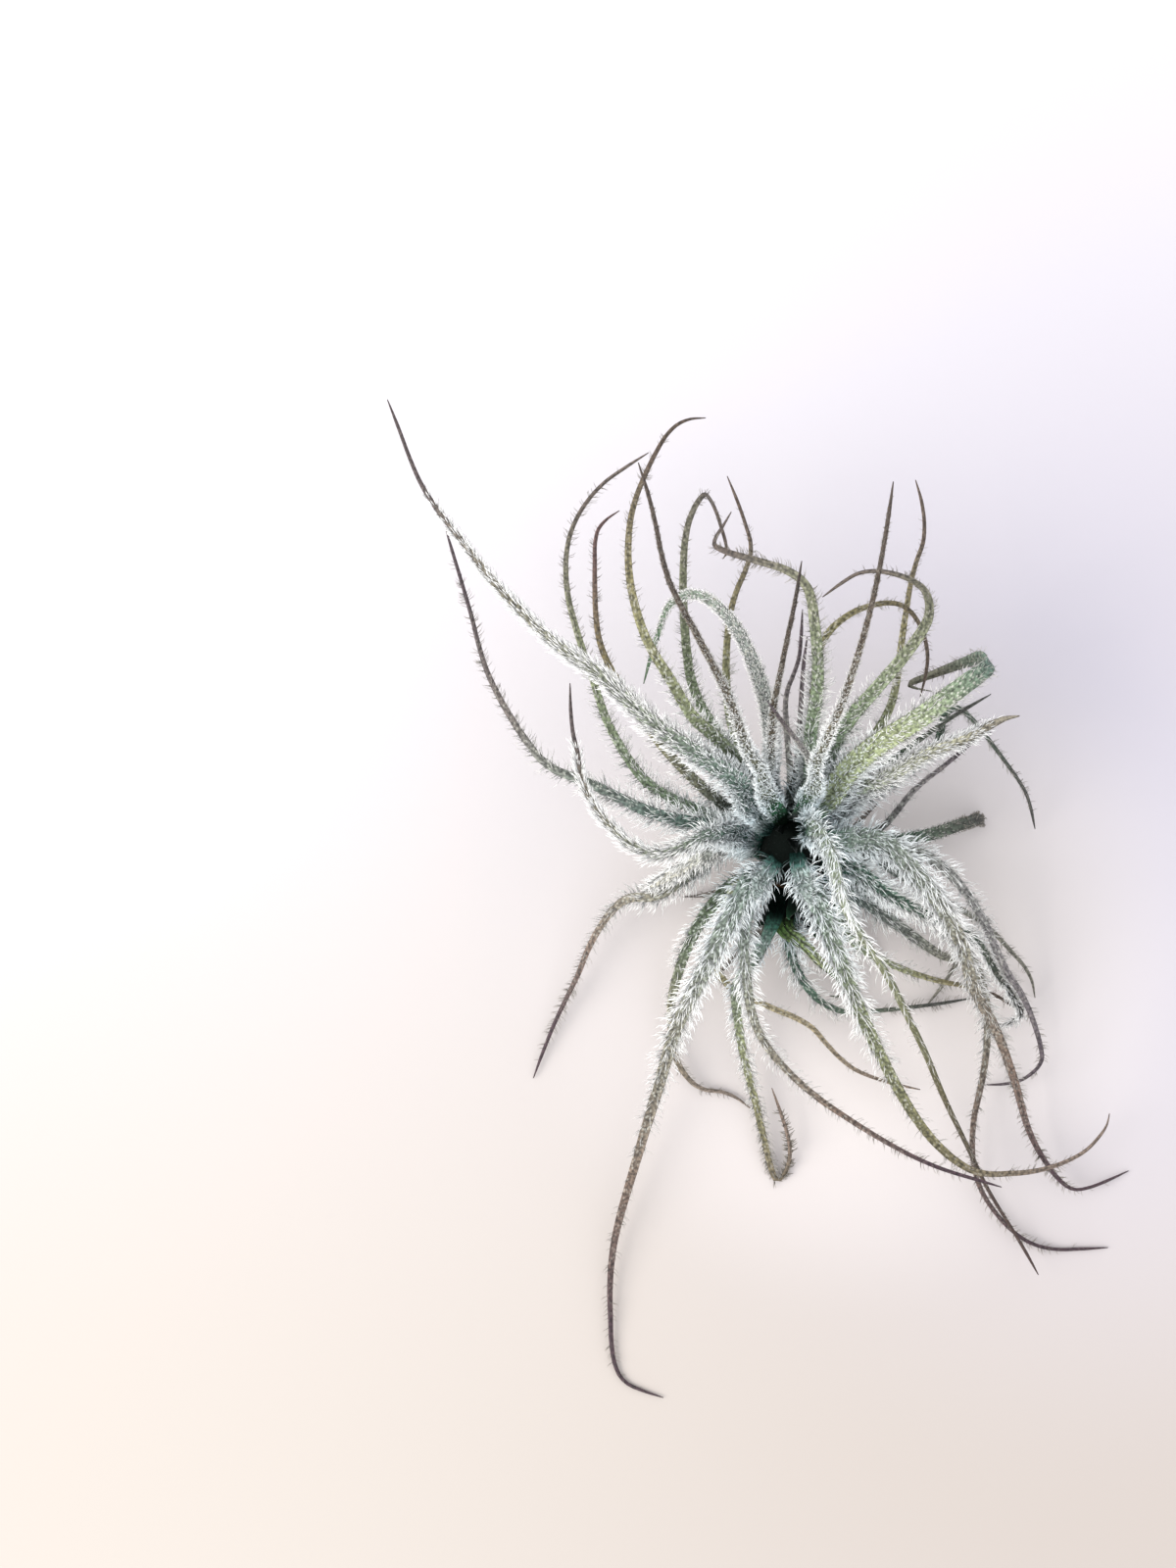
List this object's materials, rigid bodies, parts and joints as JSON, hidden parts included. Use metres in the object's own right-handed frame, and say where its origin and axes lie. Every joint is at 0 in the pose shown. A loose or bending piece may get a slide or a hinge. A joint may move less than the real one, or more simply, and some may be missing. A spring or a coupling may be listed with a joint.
{
  "type": "air plant",
  "caption": "Air plant with narrow, curling, hairy silver-green leaves in a rosette round a short leaning stem that rests on its dry cut base.",
  "frame": {"origin": "middle of the stem's flat cut base, on the surface that the plant rests on", "axes": "+Z up from the surface; +Y along the plant's longest reach, towards the side that the stem leans to; +X to the right as seen from above with +Y up"},
  "size_m": [0.1482, 0.197, 0.0824],
  "materials": {
    "stem": "dry, rough, ringed by old leaf scars",
    "dry_leaf": "dry, matt, straw to grey-brown",
    "outer_leaf": "matt grey-green with brown-purple tips",
    "middle_leaf": "matt green to silver-green",
    "inner_leaf": "silvery green under pale hairs",
    "heart_leaf": "fresh green, satin",
    "leaf_hair": "fine pale translucent hairs"
  },
  "bodies": {
    "root": {"stem": "stem", "lower_leaf_01": "dry_leaf", "lower_leaf_02": "dry_leaf", "lower_leaf_03": "dry_leaf", "lower_leaf_04": "dry_leaf", "lower_leaf_05": "dry_leaf", "short_leaf_01": "dry_leaf", "short_leaf_02": "dry_leaf", "short_leaf_03": "dry_leaf", "short_leaf_04": "dry_leaf", "short_leaf_05": "dry_leaf", "short_leaf_06": "dry_leaf", "outer_leaf_01": "outer_leaf", "outer_leaf_02": "outer_leaf", "outer_leaf_03": "outer_leaf", "outer_leaf_04": "outer_leaf", "outer_leaf_05": "outer_leaf", "outer_leaf_06": "outer_leaf", "outer_leaf_07": "outer_leaf", "outer_leaf_08": "outer_leaf", "outer_leaf_09": "outer_leaf", "outer_leaf_10": "outer_leaf", "outer_leaf_11": "outer_leaf", "outer_leaf_12": "outer_leaf", "outer_leaf_13": "outer_leaf", "outer_leaf_14": "outer_leaf", "middle_leaf_01": "middle_leaf", "middle_leaf_02": "middle_leaf", "middle_leaf_03": "middle_leaf", "middle_leaf_04": "middle_leaf", "middle_leaf_05": "middle_leaf", "middle_leaf_06": "middle_leaf", "middle_leaf_07": "middle_leaf", "middle_leaf_08": "middle_leaf", "middle_leaf_09": "middle_leaf", "middle_leaf_10": "middle_leaf", "middle_leaf_11": "middle_leaf", "middle_leaf_12": "middle_leaf", "middle_leaf_13": "middle_leaf", "middle_leaf_14": "middle_leaf", "middle_leaf_15": "middle_leaf", "inner_leaf_01": "inner_leaf", "inner_leaf_02": "inner_leaf", "inner_leaf_03": "inner_leaf", "inner_leaf_04": "inner_leaf", "inner_leaf_05": "inner_leaf", "inner_leaf_06": "inner_leaf", "inner_leaf_07": "inner_leaf", "inner_leaf_08": "inner_leaf", "inner_leaf_09": "inner_leaf", "inner_leaf_10": "inner_leaf", "inner_leaf_11": "inner_leaf", "inner_leaf_12": "inner_leaf", "inner_leaf_13": "inner_leaf", "inner_leaf_14": "inner_leaf", "heart_leaf_01": "heart_leaf", "heart_leaf_02": "heart_leaf", "heart_leaf_03": "heart_leaf"}
  },
  "joints": []
}
